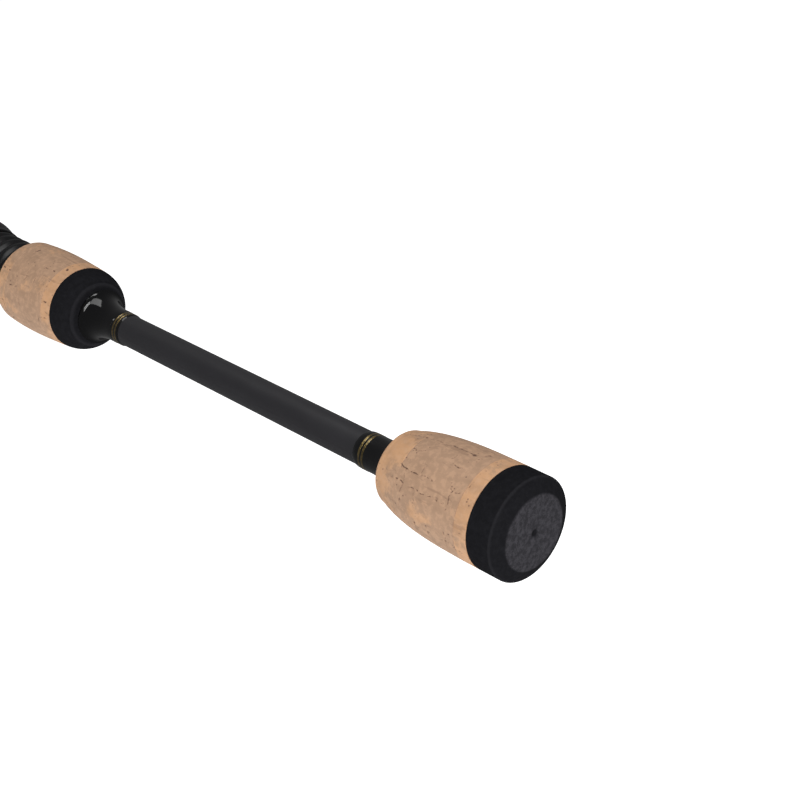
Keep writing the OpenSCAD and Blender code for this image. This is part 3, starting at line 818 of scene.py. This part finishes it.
class ROD_OT_reel_seat(bpy.types.Operator):
    """Reel seat body with its helical thread, keyway and flat"""

    bl_idname = "rod.reel_seat"
    bl_label = "Reel seat"

    def execute(self, context):
        size = shape()
        start, end = station("seat_body")
        collar = radius("seat_body")
        crest = collar - 0.6 * MM
        crests = 9
        seat_bore = 7.6 * MM
        thread_x0 = start + 4.5 * MM
        thread_x1 = thread_x0 + crests * size.thread_pitch
        waist_x0 = thread_x1 + 23 * MM
        waist_x1 = end - 24 * MM
        profile = [(start, collar - 0.4 * MM), (start + 0.15 * MM, collar - 0.12 * MM)]
        profile.append((start + 0.45 * MM, collar))
        thread_root = (thread_x0, crest - 0.4 * MM)
        profile += fillet((start + 3.2 * MM, collar), (start, collar), thread_root, 0.8 * MM)
        rows = crests * 20
        profile += [(thread_x0 + (thread_x1 - thread_x0) * k / rows, crest) for k in range(rows + 1)]
        profile += [(thread_x1 + 1 * MM, crest), (waist_x0, crest)]
        for k in range(1, 24):
            dip = 0.45 * MM * (1 - math.cos(2 * math.pi * k / 24))
            profile.append((waist_x0 + (waist_x1 - waist_x0) * k / 24, crest - dip))
        profile += [(waist_x1, crest), (end, crest)]
        obj = turned("seat_barrel", profile, segments=144, bore=seat_bore)
        for vertex in obj.data.vertices:
            x, y, z = vertex.co
            r = math.hypot(y, z)
            if r < crest - 0.5 * MM or not thread_x0 - 1e-6 < x < thread_x1 + 1e-6:
                continue
            ease = min(1.0, (x - thread_x0) / (1.2 * MM), (thread_x1 - x) / (1.2 * MM))
            turn = (x - thread_x0) / size.thread_pitch - math.atan2(z, y) / (2 * math.pi)
            valley = (0.5 + 0.5 * math.cos(2 * math.pi * turn)) ** 1.5
            scale = (crest - size.thread_depth * valley * max(0.0, ease)) / r
            vertex.co = (x, y * scale, z * scale)
        self.cut(obj, (thread_x1 + 1 * MM, end - 8 * MM), 12 * MM, 9.6 * MM)
        self.cut(obj, (thread_x0, thread_x1 + 1.2 * MM), 2.1 * MM, 10.2 * MM)
        deselect()
        obj.select_set(True)
        bpy.context.view_layer.objects.active = obj
        bpy.ops.object.shade_smooth_by_angle(angle=math.radians(40))
        join_the_rod(obj, seat_plastic(), "seat_plastic", "seat_body")
        return {"FINISHED"}

    def cut(self, obj, along, half_width, depth):
        """Cuts a flat of a half width below z = -depth."""
        deselect()
        low, high = along
        bpy.ops.mesh.primitive_cube_add(size=1, location=((low + high) / 2, 0, -depth - 5 * MM))
        cutter = bpy.context.object
        bpy.ops.transform.resize(value=(high - low, 2 * half_width, 10 * MM))
        bpy.ops.object.transform_apply(location=True, rotation=True, scale=True)
        deselect()
        obj.select_set(True)
        bpy.context.view_layer.objects.active = obj
        modifier = obj.modifiers.new("flat", "BOOLEAN")
        modifier.operation = "DIFFERENCE"
        modifier.solver = "EXACT"
        modifier.object = cutter
        bpy.ops.object.modifier_apply(modifier=modifier.name)
        bpy.data.objects.remove(cutter)


class ROD_OT_frame_finishes(bpy.types.Operator):
    """Finishes on the frame's own pieces: tube, blank, hoods, nut, guides and tip"""

    bl_idname = "rod.frame_finishes"
    bl_label = "Frame finishes"

    def execute(self, context):
        for name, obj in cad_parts.items():
            if name.startswith(("guide_", "tip_")):
                kind = name.rsplit("_", 1)[1]
                by_kind = {"ring": ring_ceramic, "wraps": gloss_epoxy, "wrap": gloss_epoxy}
                finish = by_kind.get(kind, guide_metal)
            else:
                finish = {
                    "handle_tube": matt_lacquer,
                    "blank": blank_lacquer,
                    "locking_nut": seat_plastic,
                    "sliding_hood": hood_lacquer,
                    "fixed_hood": hood_lacquer,
                    "hook_keeper": bright_wire,
                    "keeper_wraps": gloss_epoxy,
                    "seat_arbor_rear": arbor_foam,
                    "seat_arbor_front": arbor_foam,
                }.get(name)
            if finish:
                dress(obj, finish())
        return {"FINISHED"}


# ---- Operator: the stage ----


class ROD_OT_stage(bpy.types.Operator):
    """Pale floor, soft lights and camera"""

    bl_idname = "rod.stage"
    bl_label = "Stage"

    def execute(self, context):
        stage = context.scene.rod_stage
        self.floor(stage)
        self.world(context)
        aim = Vector(LIGHT_AIM)
        for name, place, size, share in SOFTBOXES:
            self.softbox(name, place, aim, size, stage.key_power * share)
        self.camera(context, stage)
        return {"FINISHED"}

    def floor(self, stage):
        deselect()
        bpy.ops.mesh.primitive_plane_add(size=14, location=(0, 0, -stage.floor_drop))
        floor = bpy.context.object
        floor.name = "stage_floor"
        make = Maker("pale_floor", (0.93, 0.93, 0.93), Roughness=0.9)
        make.shader.inputs["Emission Color"].default_value = (1, 1, 1, 1)
        make.shader.inputs["Emission Strength"].default_value = stage.floor_glow
        dress(floor, make.material)
        floor.visible_glossy = False

    def world(self, context):
        world = bpy.data.worlds.new("studio")
        context.scene.world = world
        world.use_nodes = True
        sky = world.node_tree.nodes["Background"]
        sky.inputs["Color"].default_value = (1, 1, 1, 1)
        sky.inputs["Strength"].default_value = WORLD_STRENGTH

    def softbox(self, name, place, aim, size, power):
        light = bpy.data.lights.new(name, "AREA")
        light.shape = "RECTANGLE"
        light.size, light.size_y = size
        light.energy = power
        obj = bpy.data.objects.new(name, light)
        bpy.context.scene.collection.objects.link(obj)
        obj.location = place
        obj.rotation_euler = (aim - Vector(place)).to_track_quat("-Z", "Y").to_euler()

    def camera(self, context, stage):
        camera = bpy.data.cameras.new("camera")
        camera.lens = stage.lens
        camera.sensor_width = 36
        camera.clip_start = 0.01
        obj = bpy.data.objects.new("camera", camera)
        context.scene.collection.objects.link(obj)
        obj.location = CAMERA_AT
        obj.rotation_euler = Vector(CAMERA_LOOK).to_track_quat("-Z", "Y").to_euler()
        context.scene.camera = obj
        context.scene.view_settings.view_transform = "Standard"


PIECES = [
    ROD_OT_butt_cap,
    ROD_OT_rear_grip,
    ROD_OT_wraps,
    ROD_OT_middle_check,
    ROD_OT_middle_grip,
    ROD_OT_reel_seat,
    ROD_OT_fore_grip,
    ROD_OT_frame_finishes,
    ROD_OT_stage,
]


class ROD_PT_panel(bpy.types.Panel):
    """Lists the rod's pieces and settings"""

    bl_idname = "ROD_PT_panel"
    bl_label = "Ice Fishing Rod"
    bl_space_type = "VIEW_3D"
    bl_region_type = "UI"
    bl_category = "Rod"

    def draw(self, context):
        for operator in PIECES:
            self.layout.operator(operator.bl_idname)
        for group in ("rod_shape", "rod_finish", "rod_stage"):
            settings = getattr(context.scene, group)
            for name in settings.__annotations__:
                self.layout.prop(settings, name)


GROUPS = {"rod_shape": RodShape, "rod_finish": RodFinish, "rod_stage": RodStage}


def register():
    for cls in (*GROUPS.values(), *PIECES, ROD_PT_panel):
        bpy.utils.register_class(cls)
    for name, group in GROUPS.items():
        setattr(bpy.types.Scene, name, bpy.props.PointerProperty(type=group))


def unregister():
    for name in GROUPS:
        delattr(bpy.types.Scene, name)
    for cls in reversed((*GROUPS.values(), *PIECES, ROD_PT_panel)):
        bpy.utils.unregister_class(cls)


def main():
    register()
    for operator in PIECES:
        group, name = operator.bl_idname.split(".")
        getattr(getattr(bpy.ops, group), name)()


if __name__ == "__main__":
    main()
